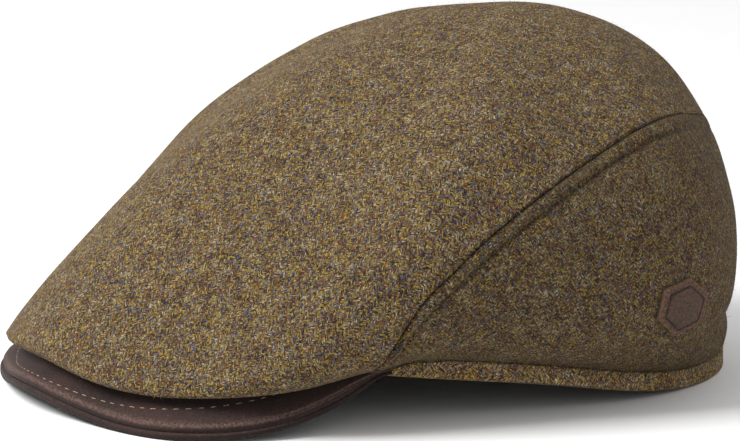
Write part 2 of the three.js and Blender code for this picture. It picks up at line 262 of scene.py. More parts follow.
# %% Tables of the shape
BAND_ROWS = {"angle": (0, 45, 70, 95, 120, 150), "rise": (1, 0.71, 0.56, 0.36, 0.1, 0)}
PEAK_ROWS = {
    "angle": (0, 15, 30, 42, TEMPLE_ANGLE),
    "reach": (1, 0.93, 0.9, 0.5, 0.07),
    "edge": (1, 0.2, 0.14, 0.85, 2.7),
    "hem": (0.79, 0.77, 0.7, 0.64, 0.66),
}
CROWN_ROWS = {
    "angle": (0, 22, 45, 68, 90, 120, 150, 180),
    "front": (1, 0.914, 0.56, 0.04, 0, 0, 0, 0),
    "side": (0, 0, 0.29, 0.89, 1, 1.02, 0.2, 0.06),
    "height": (0.178, 0.114, 0.212, 0.4, 0.385, 0.373, 0.352, 0.35),
    "full": (0.02, 0.01, 0.213, 0.705, 0.63, 0.565, 0.47, 0.466),
}
SEAM_ROWS = {
    "angle": (SEAM_START - 9, SEAM_START, 60, 76, 98, 124, 152, 180),
    "up": (-0.09, 0, 0.15, 0.305, 0.472, 0.55, 0.51, 0.49),
}
DENT_ROWS = (
    (150, 26, 0.1, 0.03, 1),
    (-146, 30, 0.11, 0.035, 0.9),
    (128, 16, 0.27, 0.05, 0.4),
    (-112, 18, 0.24, 0.06, 0.45),
    (38, 14, 0.2, 0.07, 0.5),
    (-34, 13, 0.24, 0.08, 0.55),
)


def column_curve(rows, column):
    """A smooth curve through one column of a table, level at both ends."""
    at = np.array(rows["angle"], float)
    value = np.array(rows[column], float)
    gap = np.diff(at)
    pull = np.zeros(len(at))
    system = np.eye(len(at))
    for i in range(1, len(at) - 1):
        system[i, i - 1] = 1 / gap[i - 1]
        system[i, i] = 2 / gap[i - 1] + 2 / gap[i]
        system[i, i + 1] = 1 / gap[i]
        before = (value[i] - value[i - 1]) / gap[i - 1] ** 2
        after = (value[i + 1] - value[i]) / gap[i] ** 2
        pull[i] = 3 * (before + after)
    slope = np.linalg.solve(system, pull)

    def curve(angle):
        x = np.clip(angle, at[0], at[-1])
        i = np.clip(np.searchsorted(at, x, side="right") - 1, 0, len(gap) - 1)
        t = (x - at[i]) / gap[i]
        start = (1 + 2 * t) * (1 - t) ** 2 * value[i] + t * (1 - t) ** 2 * gap[i] * slope[i]
        end = t * t * (3 - 2 * t) * value[i + 1] + t * t * (t - 1) * gap[i] * slope[i + 1]
        return start + end

    return curve


band_rise = column_curve(BAND_ROWS, "rise")
peak_share, peak_edge, hem_share = (column_curve(PEAK_ROWS, c) for c in ("reach", "edge", "hem"))
crown_front, crown_side, crown_widest, crown_full = (
    column_curve(CROWN_ROWS, c) for c in ("front", "side", "height", "full")
)
seam_up = column_curve(SEAM_ROWS, "up")
print("widest line over the ear at", round(float(crown_widest(90)) * CROWN_HEIGHT, 1), "mm")

# %% [markdown]
# From the tables come the opening, the peak's underside, the place where the crown's hem is
# sewn down, and for every angle one line up the crown: two Bezier curves, a roll of cloth out
# to the widest line and the wall from there to the top. A place on the crown is an angle and
# a share of the way up that line.

# %% Shape functions
def fade(x, start, end):
    t = np.clip((x - start) / (end - start), 0, 1)
    return t * t * (3 - 2 * t)


def mix(a, b, share):
    return a + (b - a) * share


def opening_radius(angle):
    turned = np.radians(angle)
    across = np.abs(np.sin(turned)) / (OPENING_WIDTH / 2)
    along = np.abs(np.cos(turned)) / (OPENING_LENGTH / 2)
    return (across ** OPENING_SQUARENESS + along ** OPENING_SQUARENESS) ** (-1 / OPENING_SQUARENESS)


def band_bottom(angle):
    return FRONT_RISE * band_rise(np.abs(angle))


def peak_width(angle):
    return PEAK_REACH * peak_share(np.abs(angle))


def peak_bottom(angle, share):
    side = np.abs(angle)
    straight = mix(band_bottom(side), PEAK_EDGE_RISE * peak_edge(side), share)
    camber = PEAK_CAMBER * peak_share(side) * 4 * share * (1 - share)
    return np.maximum(straight + camber, 0)


def outward(angle):
    """The level direction away from the middle of the head opening."""
    turned = math.radians(angle)
    return np.array([math.sin(turned), -math.cos(turned), 0])


def round_head(angle, radius, height):
    """Points at one angle round the head opening, for rows of radii and heights."""
    return np.outer(radius, outward(angle)) + np.outer(height, (0, 0, 1))


PEAK_WALL = PEAK_LOWER_WALL + SEAM_GAP + PEAK_UPPER_WALL
HEM_REST = 0.5
HEM_CLIMB = 6
HEM_BAND_CLEARANCE = 2.3


def crown_hem(angle):
    """Plan radius and height of the crown's hem."""
    side = np.abs(angle)
    climbed = TEMPLE_ANGLE + HEM_CLIMB
    on_peak = np.hypot(hem_share(side) * peak_width(side), HEM_BAND_CLEARANCE)
    past = mix(on_peak, -SEAM_GAP, fade(side, climbed, climbed + HEM_CLIMB))
    share = np.clip(past / peak_width(side), 0, 1)
    low = peak_bottom(side, share) + PEAK_WALL + HEM_REST
    high = band_bottom(side) + BAND_HEIGHT + SEAM_GAP
    return opening_radius(side) + past, mix(low, high, fade(side, TEMPLE_ANGLE - 2, climbed))


def bezier(ends, t):
    t = t[:, None]
    shares = (1 - t) ** 3, 3 * t * (1 - t) ** 2, 3 * t * t * (1 - t), t ** 3
    return sum(share * np.array(point) for share, point in zip(shares, ends))


def way_along(points):
    """How far along a line of points each of them lies."""
    steps = np.linalg.norm(np.diff(points, axis=0), axis=1)
    return np.concatenate([[0], np.cumsum(steps)])


crown_lines = {}
FINE = np.linspace(0, 1, 201)
ROLL_REACH_FRONT = 0.8
ROLL_REACH_SIDE = 0.55
ROLL_RISE_FLAT = 0.12
ROLL_RISE_UPRIGHT = 0.45
MAX_TOP_HANDLE = 0.9
SLOPE_TURN = 0.4
SLOPE_UP = 0.004


def crown_line(angle):
    """The two curves of the crown's outer line at one angle, and the length of each so far."""
    angle = (angle + 180) % 360 - 180
    key = round(float(angle), 4)
    if key in crown_lines:
        return crown_lines[key]
    side = abs(angle)
    hem_radius, hem_height = crown_hem(side)
    widest = opening_radius(side) + FRONT_REACH * crown_front(side) + SIDE_BULGE * crown_side(side)
    widest_height = CROWN_HEIGHT * crown_widest(side)

    def at(radius, height):
        return round_head(angle, radius, height)[0]

    turned = fade(side, TEMPLE_ANGLE - 3, TEMPLE_ANGLE + 2 * HEM_CLIMB)
    reach = mix(ROLL_REACH_FRONT, ROLL_REACH_SIDE, turned)
    rise = widest_height - hem_height
    roll = [
        at(hem_radius, hem_height),
        at(mix(hem_radius, widest, reach), hem_height + ROLL_RISE_FLAT * rise),
        at(widest, hem_height + ROLL_RISE_UPRIGHT * rise),
        at(widest, widest_height),
    ]
    top = np.array([0, TOP_SETBACK, CROWN_HEIGHT])
    plan = roll[3][:2] - top[:2]
    length = np.hypot(*plan)
    aside, ahead = (plan / length) ** 2
    bend = ahead / TOP_RADIUS_LENGTHWAYS + aside / TOP_RADIUS_CROSSWAYS
    wall_rise = CROWN_HEIGHT - widest_height
    full = crown_full(side)
    handle = min(math.sqrt(2 / 3 * wall_rise * (1 - full) / bend), MAX_TOP_HANDLE * length)
    wall = [
        roll[3],
        roll[3] + np.array([0, 0, full * wall_rise]),
        np.array([*(top[:2] + plan * handle / length), CROWN_HEIGHT]),
        top,
    ]
    lengths = [way_along(bezier(ends, FINE)) for ends in (roll, wall)]
    crown_lines[key] = roll, wall, lengths
    return crown_lines[key]


def wall_length(angle):
    lengths = crown_line(angle)[2]
    return lengths[0][-1] + lengths[1][-1]


def crown_points(angle, up):
    """Points of the crown's smooth outer line at one angle, for an array of shares of its way up."""
    roll, wall, lengths = crown_line(angle)
    way = np.clip(up, 0, 1) * wall_length(angle)
    low = bezier(roll, np.interp(way, lengths[0], FINE))
    high = bezier(wall, np.interp(way - lengths[0][-1], lengths[1], FINE))
    return np.where((way < lengths[0][-1])[:, None], low, high)


def crown_normals(angle, up):
    along = crown_points(angle + SLOPE_TURN, up) - crown_points(angle - SLOPE_TURN, up)
    rising = crown_points(angle, up + SLOPE_UP) - crown_points(angle, up - SLOPE_UP)
    normal = np.cross(along, rising)
    normal[up > 0.9999] = (0, 0, 1)
    return normal / np.linalg.norm(normal, axis=1)[:, None]


print("way from hem to top in front:", round(float(wall_length(0)), 1), "mm")

# %% [markdown]
# ## Cloth is never perfectly smooth
# Two things make the cloth soft: the dents that the frame has too, and a slow unevenness that
# any steamed wool has. The unevenness is a sum of long waves in all directions, from a fixed
# seed, and it dies away towards the hem, where the cloth is sewn down.

# %% Soft unevenness
WAVE_COUNT = 28
SHORTEST_WAVE = 16
LONGEST_WAVE = 60
WAVE_STEEPNESS = 0.0013
SEWN_DOWN_TO = 2
LOOSE_FROM = 22
waves = np.random.default_rng(12)
wave_length = waves.uniform(SHORTEST_WAVE, LONGEST_WAVE, WAVE_COUNT)
wave_aim = waves.normal(size=(WAVE_COUNT, 3))
wave_aim *= (2 * math.pi / wave_length / np.linalg.norm(wave_aim, axis=1))[:, None]
wave_start = waves.uniform(0, 2 * math.pi, WAVE_COUNT)
wave_size = WAVE_STEEPNESS * wave_length


def unevenness(points):
    return np.sin(points @ wave_aim.T + wave_start) @ wave_size


def bulge(distance, width):
    """1 at distance 0, fading softly away to both sides."""
    return np.exp(-((distance / width) ** 2))


def dents(angle, up):
    """Depth of the soft dents. A row says: angle, half width, way up, half height, share of the wall."""
    depth = np.zeros(len(up))
    for dent_angle, wide, dent_up, tall, share in DENT_ROWS:
        depth += share * CROWN_WALL * bulge(angle - dent_angle, wide) * bulge(up - dent_up, tall)
    return depth


def lift_off_peak(points):
    """Points lower than the peak's upper face are lifted clear of it."""
    angle = np.degrees(np.arctan2(points[:, 0], -points[:, 1]))
    share = (np.hypot(points[:, 0], points[:, 1]) - opening_radius(angle)) / peak_width(angle)
    over = (np.abs(angle) < TEMPLE_ANGLE + 1) & (share > 0) & (share < 1)
    floor_height = peak_bottom(angle, np.clip(share, 0, 1)) + PEAK_WALL + HEM_REST
    points[:, 2] = np.where(over, np.maximum(points[:, 2], floor_height), points[:, 2])
    return points


def cloth(angle, up, depth):
    """Points of the cloth at one angle; depth is how far each lies under the outer face."""
    points = crown_points(angle, up)
    normals = crown_normals(angle, up)
    soft = unevenness(points) * fade(up * wall_length(angle), SEWN_DOWN_TO, LOOSE_FROM)
    return lift_off_peak(points + normals * (soft - dents(angle, up) - depth)[:, None])


print("the cloth is uneven by", round(float(np.sqrt((wave_size ** 2).sum() / 2)), 2), "mm on average")

# %% [markdown]
# ## From rows of points to a piece of cloth
# Each piece is a loft: a closed strip of points at every angle, joined to the next one. The
# strip runs up the outer face and back down the inner one, so the cloth has its real
# thickness. The UV map is laid out in metres of cloth, so the weave keeps its true size.

# %% Loft helper
def keep_values(mesh, name, values):
    """Keeps one number with each point of a mesh, for its material to read."""
    mesh.attributes.new(name, "FLOAT", "POINT").data.foreach_set("value", np.ravel(values))


def strip_map(across, around):
    """UV of one strip: how far along the piece it lies, and the way round its section."""
    return np.stack([np.full(len(across), around), across], axis=1)


def loft(name, sections, uv, ringed, open_strip=None, crease=None):
    """sections: strips by points by 3. uv: one more row and column than that, by 2.

    The last argument is painted shade for each point, strongest in a seam's fold. It is kept so the
    cloth's colour can be darkened by it."""
    count, size = sections.shape[:2]
    spans = count if ringed else count - 1
    strip = [i for i in range(size) if i != open_strip]
    s, i = np.meshgrid(np.arange(spans), strip, indexing="ij")
    s, i = s.ravel(), i.ravel()
    corners = [(s, i), (s + 1, i), (s + 1, i + 1), (s, i + 1)]
    faces = np.stack([(a % count) * size + b % size for a, b in corners], axis=1)
    face_uv = np.stack([uv[a, b] for a, b in corners], axis=1)
    mesh = bpy.data.meshes.new(name)
    points = sections.reshape(-1, 3) * MM + np.array(RIM_CENTER)
    lids = []
    if not ringed:
        lids = [list(range(size)), [(count - 1) * size + k for k in reversed(range(size))]]
    mesh.from_pydata(points.tolist(), [], faces.tolist() + lids)
    if crease is not None:
        keep_values(mesh, "crease", crease)
    layer = mesh.uv_layers.new(name="cloth")
    flat = np.zeros((len(mesh.loops), 2))
    flat[: len(faces) * 4] = face_uv.reshape(-1, 2) * MM
    layer.data.foreach_set("uv", flat.ravel())
    work = bmesh.new()
    work.from_mesh(mesh)
    bmesh.ops.remove_doubles(work, verts=work.verts, dist=1e-7)
    if work.calc_volume(signed=True) < 0:
        bmesh.ops.reverse_faces(work, faces=work.faces)
    work.to_mesh(mesh)
    work.free()
    mesh.shade_smooth()
    return add_object(name, mesh)


def rows_from_edge(length, fine_rows, count, crowding):
    """Distances from a seam: a few close rows beside it, then even ones up to the full length."""
    near = np.array(fine_rows) * min(1, length / (1.6 * fine_rows[-1]))
    far = mix(near[-1], length, (np.arange(1, count + 1) / count) ** crowding)
    return np.concatenate([near, far])


def turned_edge(distance, radius):
    """How far the cloth sinks at a distance from its turned edge."""
    inside = np.clip(radius - distance, 0, radius)
    return radius - np.sqrt(radius ** 2 - inside ** 2)


def half_gap(angle):
    """Half of a seam's gap up the wall, in millimetres: a steep seam has a taller one."""
    side = abs(angle)
    place_on_seam = crown_points(side, np.array([float(seam_up(side))]))[0]
    step = math.radians(2) * math.hypot(place_on_seam[0], place_on_seam[1])
    slope = (seam_up(side + 1) - seam_up(side - 1)) * wall_length(side) / step
    return 0.5 * SEAM_GAP * math.hypot(1, slope)


def seam_depth(side):
    """The side seam is pressed flatter round the back of the cap."""
    return float(mix(1, 0.3, fade(side, 108, 134)))


EDGE_RADIUS = 1.0
# Width of the painted shade beside a seam, in millimetres
CREASE_SHADE_WIDTH = 1.1
print("loft helper is ready")

# %% [markdown]
# ## The crown
# The big top panel is one piece of cloth from the peak over the top to the side seams. Its
# edge is turned under along the seams, which with painted shade in the fold makes the crisp
# dark line between the panels.
# The weave runs straight from front to back over the top, as the cloth is cut on a flat table.

# %% Top panel
TOP_COLUMNS = 480
TOP_ROWS = 84
INNER_ROWS = 24
SEAM_ROWS_TOP = (0, 0.08, 0.2, 0.4, 0.65, 1, 1.5, 2.3, 3.5)


def top_start(angle):
    """Distance from the hem at which the top panel begins."""
    side = abs(angle)
    if side <= SEAM_START:
        return 0.0
    return float(seam_up(side)) * wall_length(side) + half_gap(side)


def cloth_of_top(angle, way):
    """UV of the top panel in millimetres: the way from the top, in the direction it runs."""
    left = wall_length(angle) - way
    direction = crown_points(angle, np.array([0.75]))[0] - np.array([0, TOP_SETBACK, 0])
    heading = math.atan2(direction[0], -direction[1])
    return np.stack([left * math.sin(heading), -left * math.cos(heading)], axis=1)


def make_top_panel():
    sections, uvs, crease = [], [], []
    angles = np.linspace(-180, 180, TOP_COLUMNS + 1)
    for angle in angles:
        length = wall_length(angle)
        start = top_start(angle)
        distance = rows_from_edge(length - start, SEAM_ROWS_TOP, TOP_ROWS, 1.1)
        inner = np.linspace(length - start, 0, INNER_ROWS)
        outer_way, inner_way = start + distance, start + inner
        sink = turned_edge(distance, EDGE_RADIUS * seam_depth(abs(angle)))
        outer = cloth(angle, outer_way / length, sink)
        lining = cloth(angle, inner_way / length, np.full(INNER_ROWS, float(CROWN_WALL)))
        sections.append(np.concatenate([outer, lining]))
        uv = cloth_of_top(angle, np.concatenate([outer_way, inner_way]))
        uvs.append(np.concatenate([uv, uv[:1]]))
        # Painted shade: the cloth beside the seam, where its edge turns under, is darkened
        fold_shade = 0.8 * bulge(distance, CREASE_SHADE_WIDTH) * seam_depth(abs(angle))
        crease.append(np.concatenate([fold_shade, np.zeros(INNER_ROWS)]))
    pole = TOP_ROWS + len(SEAM_ROWS_TOP) - 1
    return loft("crown_top_cloth", np.array(sections[:-1]), np.array(uvs), True, pole, crease[:-1])


top_cloth = make_top_panel()
print("top panel:", len(top_cloth.data.polygons), "faces")

# %% [markdown]
# ## The side panels
# They hang below the side seams. The seam's allowance is pressed down under them and sewn
# through, which leaves a soft ridge beside the seam and a shallow groove below it.

# %% Side panels
SIDE_COLUMNS = 230
SIDE_ROWS = 40
TOPSTITCH_AT = 5.6
TOPSTITCH_DEPTH = 1.2
TOPSTITCH_WIDTH = 1.1
RIDGE = 0.6
ALLOWANCE = 2.5
HEM_RADIUS = 0.3
SEAM_ROWS_SIDE = (
    0, 0.08, 0.2, 0.4, 0.65, 1, 1.5, 2.2, 3, 3.8, 4.3, 4.7, 5.1, 5.5, 5.9, 6.3, 6.7, 7.2, 8, 9, 10.5,
)
SIDE_START = SEAM_START + 1
BACK_GAP = math.degrees(SEAM_GAP / 2 / opening_radius(180))
# At the back seam the left panel's cloth runs on under the right one, in degrees and millimetres
BACK_ALLOWANCE = 1.1
BACK_ALLOWANCE_DEPTH = 0.3
BACK_RADIUS = 90
# The hem is tucked into the band
TUCK_IN = 0.4
TUCK_DOWN = 1.2
# The tip of the side seam's allowance lies this much higher than the cloth's inner face
ALLOWANCE_RISE = 0.4


def pucker(side):
    """How deep the sewn line sinks at an angle: the stitches never pull evenly."""
    return 0.85 + 0.2 * math.sin(1.9 * side) * math.sin(0.7 * side + 1)


def topstitch(distance):
    """Height of the ridge beside the seam, less the groove of the sewn line under it."""
    ridge = RIDGE * fade(distance, 0.3, 2) * (1 - fade(distance, TOPSTITCH_AT - 1, TOPSTITCH_AT + 1.5))
    return ridge - TOPSTITCH_DEPTH * bulge(distance - TOPSTITCH_AT, TOPSTITCH_WIDTH)


def make_side_panel(name, sign):
    sections, uvs, crease = [], [], []
    sides = mix(SIDE_START, 180 - BACK_GAP, (np.arange(SIDE_COLUMNS + 1) / SIDE_COLUMNS) ** 1.15)
    middles = np.array([crown_points(side, np.array([0.25]))[0] for side in sides])
    for side, around in zip(sides, way_along(middles)):
        angle = sign * side
        length = wall_length(side)
        seam_way = float(seam_up(side)) * length - half_gap(side)
        distance = rows_from_edge(seam_way, SEAM_ROWS_SIDE, SIDE_ROWS, 0.9)
        scale = min(1, seam_way / 14)
        sink = turned_edge(distance, EDGE_RADIUS * scale * seam_depth(side))
        sink += turned_edge(seam_way - distance, HEM_RADIUS * scale)
        sink -= topstitch(distance) * scale ** 2 * seam_depth(side) * pucker(side)
        sink += turned_edge(math.radians(180 - BACK_GAP - side) * BACK_RADIUS, EDGE_RADIUS)
        outer_way = seam_way - distance
        inner_way = np.append(np.linspace(0, seam_way, INNER_ROWS - 1), seam_way + ALLOWANCE)
        inner_depth = np.full(INNER_ROWS, float(CROWN_WALL))
        inner_depth[-1] -= ALLOWANCE_RISE
        inner_angle = angle
        if sign > 0 and side == sides[-1]:
            inner_angle = BACK_ALLOWANCE - 180
            inner_depth += BACK_ALLOWANCE_DEPTH
        outer = cloth(angle, outer_way / length, sink)
        inner = cloth(inner_angle, inner_way / length, inner_depth)
        tuck = outer[-1] - TUCK_IN * outward(angle) - (0, 0, TUCK_DOWN)
        sections.append(np.concatenate([outer, [tuck], inner]))
        # Painted shade in the seam's fold and in the sewn groove below it
        fold_shade = bulge(distance, CREASE_SHADE_WIDTH) + 0.8 * bulge(distance - TOPSTITCH_AT, 1.2)
        crease.append(np.concatenate([fold_shade * seam_depth(side), np.zeros(INNER_ROWS + 1)]))
        ways = np.concatenate([outer_way, [-TUCK_DOWN], inner_way, outer_way[:1]])
        uvs.append(strip_map(ways, sign * around))
    return loft(name, np.array(sections), np.array(uvs), False, crease=crease)


side_left = make_side_panel("side_panel_cloth_left", 1)
side_right = make_side_panel("side_panel_cloth_right", -1)
print("side panels:", len(side_left.data.polygons), "faces each")

# %% [markdown]
# ## The band
# A folded strip of the same cloth closes the edge round the head. Its outer and inner face
# meet in soft folds at the top and the bottom.

# %% Band
BAND_COLUMNS = 420
BAND_FOLD = 0.8
BAND_UNEVENNESS = 0.35
BAND_MIDDLE = 8


def band_fold(across, up, start):
    """Points round one quarter of a fold, from an angle in degrees."""
    turned = np.radians(start - np.linspace(0, 90, 7))
    return np.stack([across + BAND_FOLD * np.cos(turned), up + BAND_FOLD * np.sin(turned)], axis=1)


def band_profile():
    """Points round the band's section: how far in from its outer face, how far up."""
    low, high, inner = BAND_FOLD, BAND_HEIGHT - BAND_FOLD, BAND_WALL - BAND_FOLD
    face = [(0, mix(low, high, share)) for share in (0.25, 0.5, 0.75)]
    return np.concatenate([
        band_fold(BAND_FOLD, low, 270), face, band_fold(BAND_FOLD, high, 180),
        band_fold(inner, high, 90), band_fold(inner, low, 0),
    ])


def make_band():
    profile = band_profile()
    across = way_along(np.concatenate([profile, profile[:1]]))
    angles = np.linspace(-180, 180, BAND_COLUMNS + 1)
    columns = np.array([
        round_head(angle, opening_radius(angle) - profile[:, 0], band_bottom(angle) + profile[:, 1])
        for angle in angles
    ])
    uvs = [strip_map(across, around) for around in way_along(columns[:, BAND_MIDDLE])]
    for angle, points in zip(angles, columns):
        soft = BAND_UNEVENNESS * unevenness(points) * fade(profile[:, 1], 0.2, 3)
        points += np.outer(np.minimum(soft, BAND_UNEVENNESS), outward(angle))
    return loft("band_cloth", columns[:-1], np.array(uvs), True)


band_cloth = make_band()
print("band:", len(band_cloth.data.polygons), "faces")

# %% [markdown]
# ## The peak
# Two leathers, the lower one a little longer. The upper one has a rounded, rubbed edge and a
# line of stitches some way in from it. How much a place is rubbed is kept with the mesh as an
# attribute, so the material can lighten it.

# %% Peak leathers
PEAK_COLUMNS = 260
GROOVE_DEPTH = 0.25
GROOVE_WIDTH = 0.55
LIP_HEIGHT = 0.2
LIP_AT = 0.9
LIP_WIDTH = 0.7
FACE_DEPTH = 0.12
# Near the temples the leather thins out to this share of its thickness
THINNEST = 0.25
THIN_FROM = TEMPLE_ANGLE - 8

STITCH_ROWS = {"angle": (0, 10, 18, 26, 35, 42), "inset": (2.4, 2.9, 4.4, 6.9, 10.1, 12)}
STITCH_END = 40
STITCH_SUNK = 0.3
stitch_inset = column_curve(STITCH_ROWS, "inset")


def stitch_share(angle):
    """The share of the peak's width at which the stitches run."""
    inset = stitch_inset(abs(angle))
    return float(1 - inset / max(peak_width(angle), inset * 1.25))


def peak_points(angle, share, extra, rise):
    radius = opening_radius(angle) + SEAM_GAP + (peak_width(angle) - SEAM_GAP) * share + extra
    return round_head(angle, radius, peak_bottom(angle, np.clip(share, 0, 1)) + rise)


def make_peak_leather(name, floor_rise, thickness, lip, roundness, grooved):
    sections, rubbed = [], []
    top_share = np.linspace(0, 1, 44)
    bottom_share = np.linspace(1, 0, 12)
    arc = np.radians(np.linspace(0, 90, 7)[1:])
    for angle in np.linspace(-TEMPLE_ANGLE, TEMPLE_ANGLE, PEAK_COLUMNS + 1):
        width = peak_width(angle)
        thin = mix(1, THINNEST, fade(abs(angle), THIN_FROM, TEMPLE_ANGLE))
        low, high = (PEAK_WALL - (PEAK_WALL - z) * thin for z in (floor_rise, floor_rise + thickness))
        edge_round = roundness * thin
        rise = np.full(len(top_share), high)
        inset = (1 - top_share) * width
        if grooved:
            away = (top_share - stitch_share(angle)) * width
            rise -= GROOVE_DEPTH * bulge(away, GROOVE_WIDTH) * (abs(angle) < STITCH_END)
            rise += LIP_HEIGHT * bulge(inset - LIP_AT, LIP_WIDTH) - FACE_DEPTH
        top_extra = np.where(top_share == 1, lip - edge_round, np.minimum(0, lip - edge_round + inset))
        top = peak_points(angle, top_share, top_extra, rise)
        edge_extra = lip - edge_round + edge_round * np.sin(arc)
        edge_rise = rise[-1] - edge_round * (1 - np.cos(arc))
        edge = peak_points(angle, np.ones(len(arc)), edge_extra, edge_rise)
        bottom_extra = np.where(bottom_share == 1, lip, 0)
        bottom = peak_points(angle, bottom_share, bottom_extra, np.full(len(bottom_share), low))
        sections.append(np.concatenate([top, edge, bottom]))
        rubbed.append(np.concatenate([np.exp(-inset / 1.4), np.cos(arc), np.zeros(len(bottom))]))
    sections = np.array(sections)
    uvs = [
        strip_map(way_along(np.concatenate([section, section[:1]])), around)
        for section, around in zip(sections, way_along(sections[:, len(top_share) - 1]))
    ]
    piece = loft(name, sections, np.array(uvs), False)
    keep_values(piece.data, "rubbed", rubbed)
    return piece


peak_upper = make_peak_leather(
    "peak_upper_leather", PEAK_LOWER_WALL + SEAM_GAP, PEAK_UPPER_WALL, 0, 0.9, True,
)
peak_lower = make_peak_leather("peak_lower_leather", 0, PEAK_LOWER_WALL, PEAK_LIP, 0.7, False)
print("peak leathers:", len(peak_upper.data.polygons), "and", len(peak_lower.data.polygons), "faces")

# %% [markdown]
# ## The patch
# A six-sided piece of leather on the wearer's left. It follows the wall of the crown. Its rim
# is sewn down, and a plain line is pressed into it inside the rim, with nothing in its middle.

# %% Patch
PATCH_WIDTH = 20.5
PATCH_HEIGHT = 19
PATCH_WALL = 1.6
PATCH_ANGLE = 112
PATCH_UP = 32.8
PATCH_TURN = math.radians(-6.4)
PATCH_SIDE_STEPS = 14
PRESSED_AT = 2.0
SEWN_AT = 0.9


def patch_rim():
    """The patch's rim as points of the flat leather, in millimetres."""
    turns = np.arange(7) * math.pi / 3
    across = np.sin(turns) * PATCH_WIDTH / math.sqrt(3)
    corners = np.stack([across, np.cos(turns) * PATCH_HEIGHT / 2], axis=1)
    return np.concatenate([
        [mix(start, end, step / PATCH_SIDE_STEPS) for step in range(PATCH_SIDE_STEPS)]
        for start, end in zip(corners, corners[1:])
    ])


def on_patch(flat, height):
    """Points over the crown for points of the flat leather. height is over the cloth's face."""
    turned = np.array([
        [math.cos(PATCH_TURN), -math.sin(PATCH_TURN)],
        [math.sin(PATCH_TURN), math.cos(PATCH_TURN)],
    ])
    length = wall_length(PATCH_ANGLE)
    spot = crown_points(PATCH_ANGLE, np.array([PATCH_UP / length]))[0]
    per_mm = math.degrees(1 / math.hypot(spot[0], spot[1]))
    placed = flat @ turned.T
    return np.concatenate([
        cloth(PATCH_ANGLE + x * per_mm, np.array([(PATCH_UP + y) / length]), np.array([-h]))
        for (x, y), h in zip(placed, height)
    ])


def patch_height(inset):
    """Height of the patch's face at a distance in from its rim: sewn rim, then pressed line."""
    height = SEAM_GAP + PATCH_WALL - turned_edge(inset, 0.6)
    return height - 0.25 * bulge(inset - SEWN_AT, 0.4) - 0.35 * bulge(inset - PRESSED_AT, 0.3)


def make_patch():
    rim = patch_rim()
    size = len(rim)
    half = PATCH_HEIGHT / 2 * math.cos(math.pi / 6)
    reach = np.concatenate([
        np.linspace(1, 0.94, 7)[:-1], np.linspace(0.94, 0.6, 26)[:-1], np.linspace(0.6, 0, 9)[:-1],
    ])
    shares = np.repeat(reach, size)
    flat = np.concatenate([np.tile(rim, (len(reach), 1)) * shares[:, None], np.zeros((1, 2))])
    inset = np.append((1 - shares) * half, half)
    top = on_patch(flat, patch_height(inset))
    under = on_patch(np.concatenate([rim, np.zeros((1, 2))]), np.full(size + 1, SEAM_GAP * 0.2))
    last_ring = (len(reach) - 1) * size
    middle = last_ring + size
    base = middle + 1
    faces = []
    for k in range(size):
        n = (k + 1) % size
        for ring in range(0, last_ring, size):
            faces.append((ring + k, ring + n, ring + size + n, ring + size + k))
        faces.append((last_ring + k, last_ring + n, middle))
        faces.append((base + n, base + k, base + size))
        faces.append((base + k, base + n, n, k))
    points = np.concatenate([top, under]) * MM + np.array(RIM_CENTER)
    mesh = bpy.data.meshes.new("patch_leather")
    mesh.from_pydata(points.tolist(), [], faces)
    work = bmesh.new()
    work.from_mesh(mesh)
    bmesh.ops.recalc_face_normals(work, faces=work.faces)
    work.to_mesh(mesh)
    work.free()
    mesh.shade_smooth()
    rubbed = 0.7 - 0.35 * fade(inset, PRESSED_AT, PRESSED_AT + 0.6) + 0.4 * np.exp(-inset / 0.6)
    pressed = bulge(inset - PRESSED_AT, 0.4) + 0.5 * bulge(inset - SEWN_AT, 0.3)
    for name, values in (("rubbed", rubbed), ("pressed", pressed)):
        keep_values(mesh, name, np.concatenate([values, np.zeros(len(under))]))
    return add_object("patch_leather", mesh)


patch = make_patch()
print("patch:", len(patch.data.polygons), "faces")

# %% [markdown]
# ## The tweed
# The yarns are spun from wool dyed in many colours, so each short float of yarn shows its own
# one: mustard, brown, rust, beige and a little grey-blue, with a rare bright nep. The weave is a
# herringbone: its floats lean one way in one stripe and the other way in the next. Stretched
# Voronoi cells along those slanting lines give one cell to each float. One group holds the
# recipe, and the crown, the sides and the band use it with their own values.

# %% Tweed group
STRIPE_WIDTH = 1.9
FLOAT_LENGTH = 0.98
FLOAT_WIDTH = 0.34
DIAGONAL = 0.7071


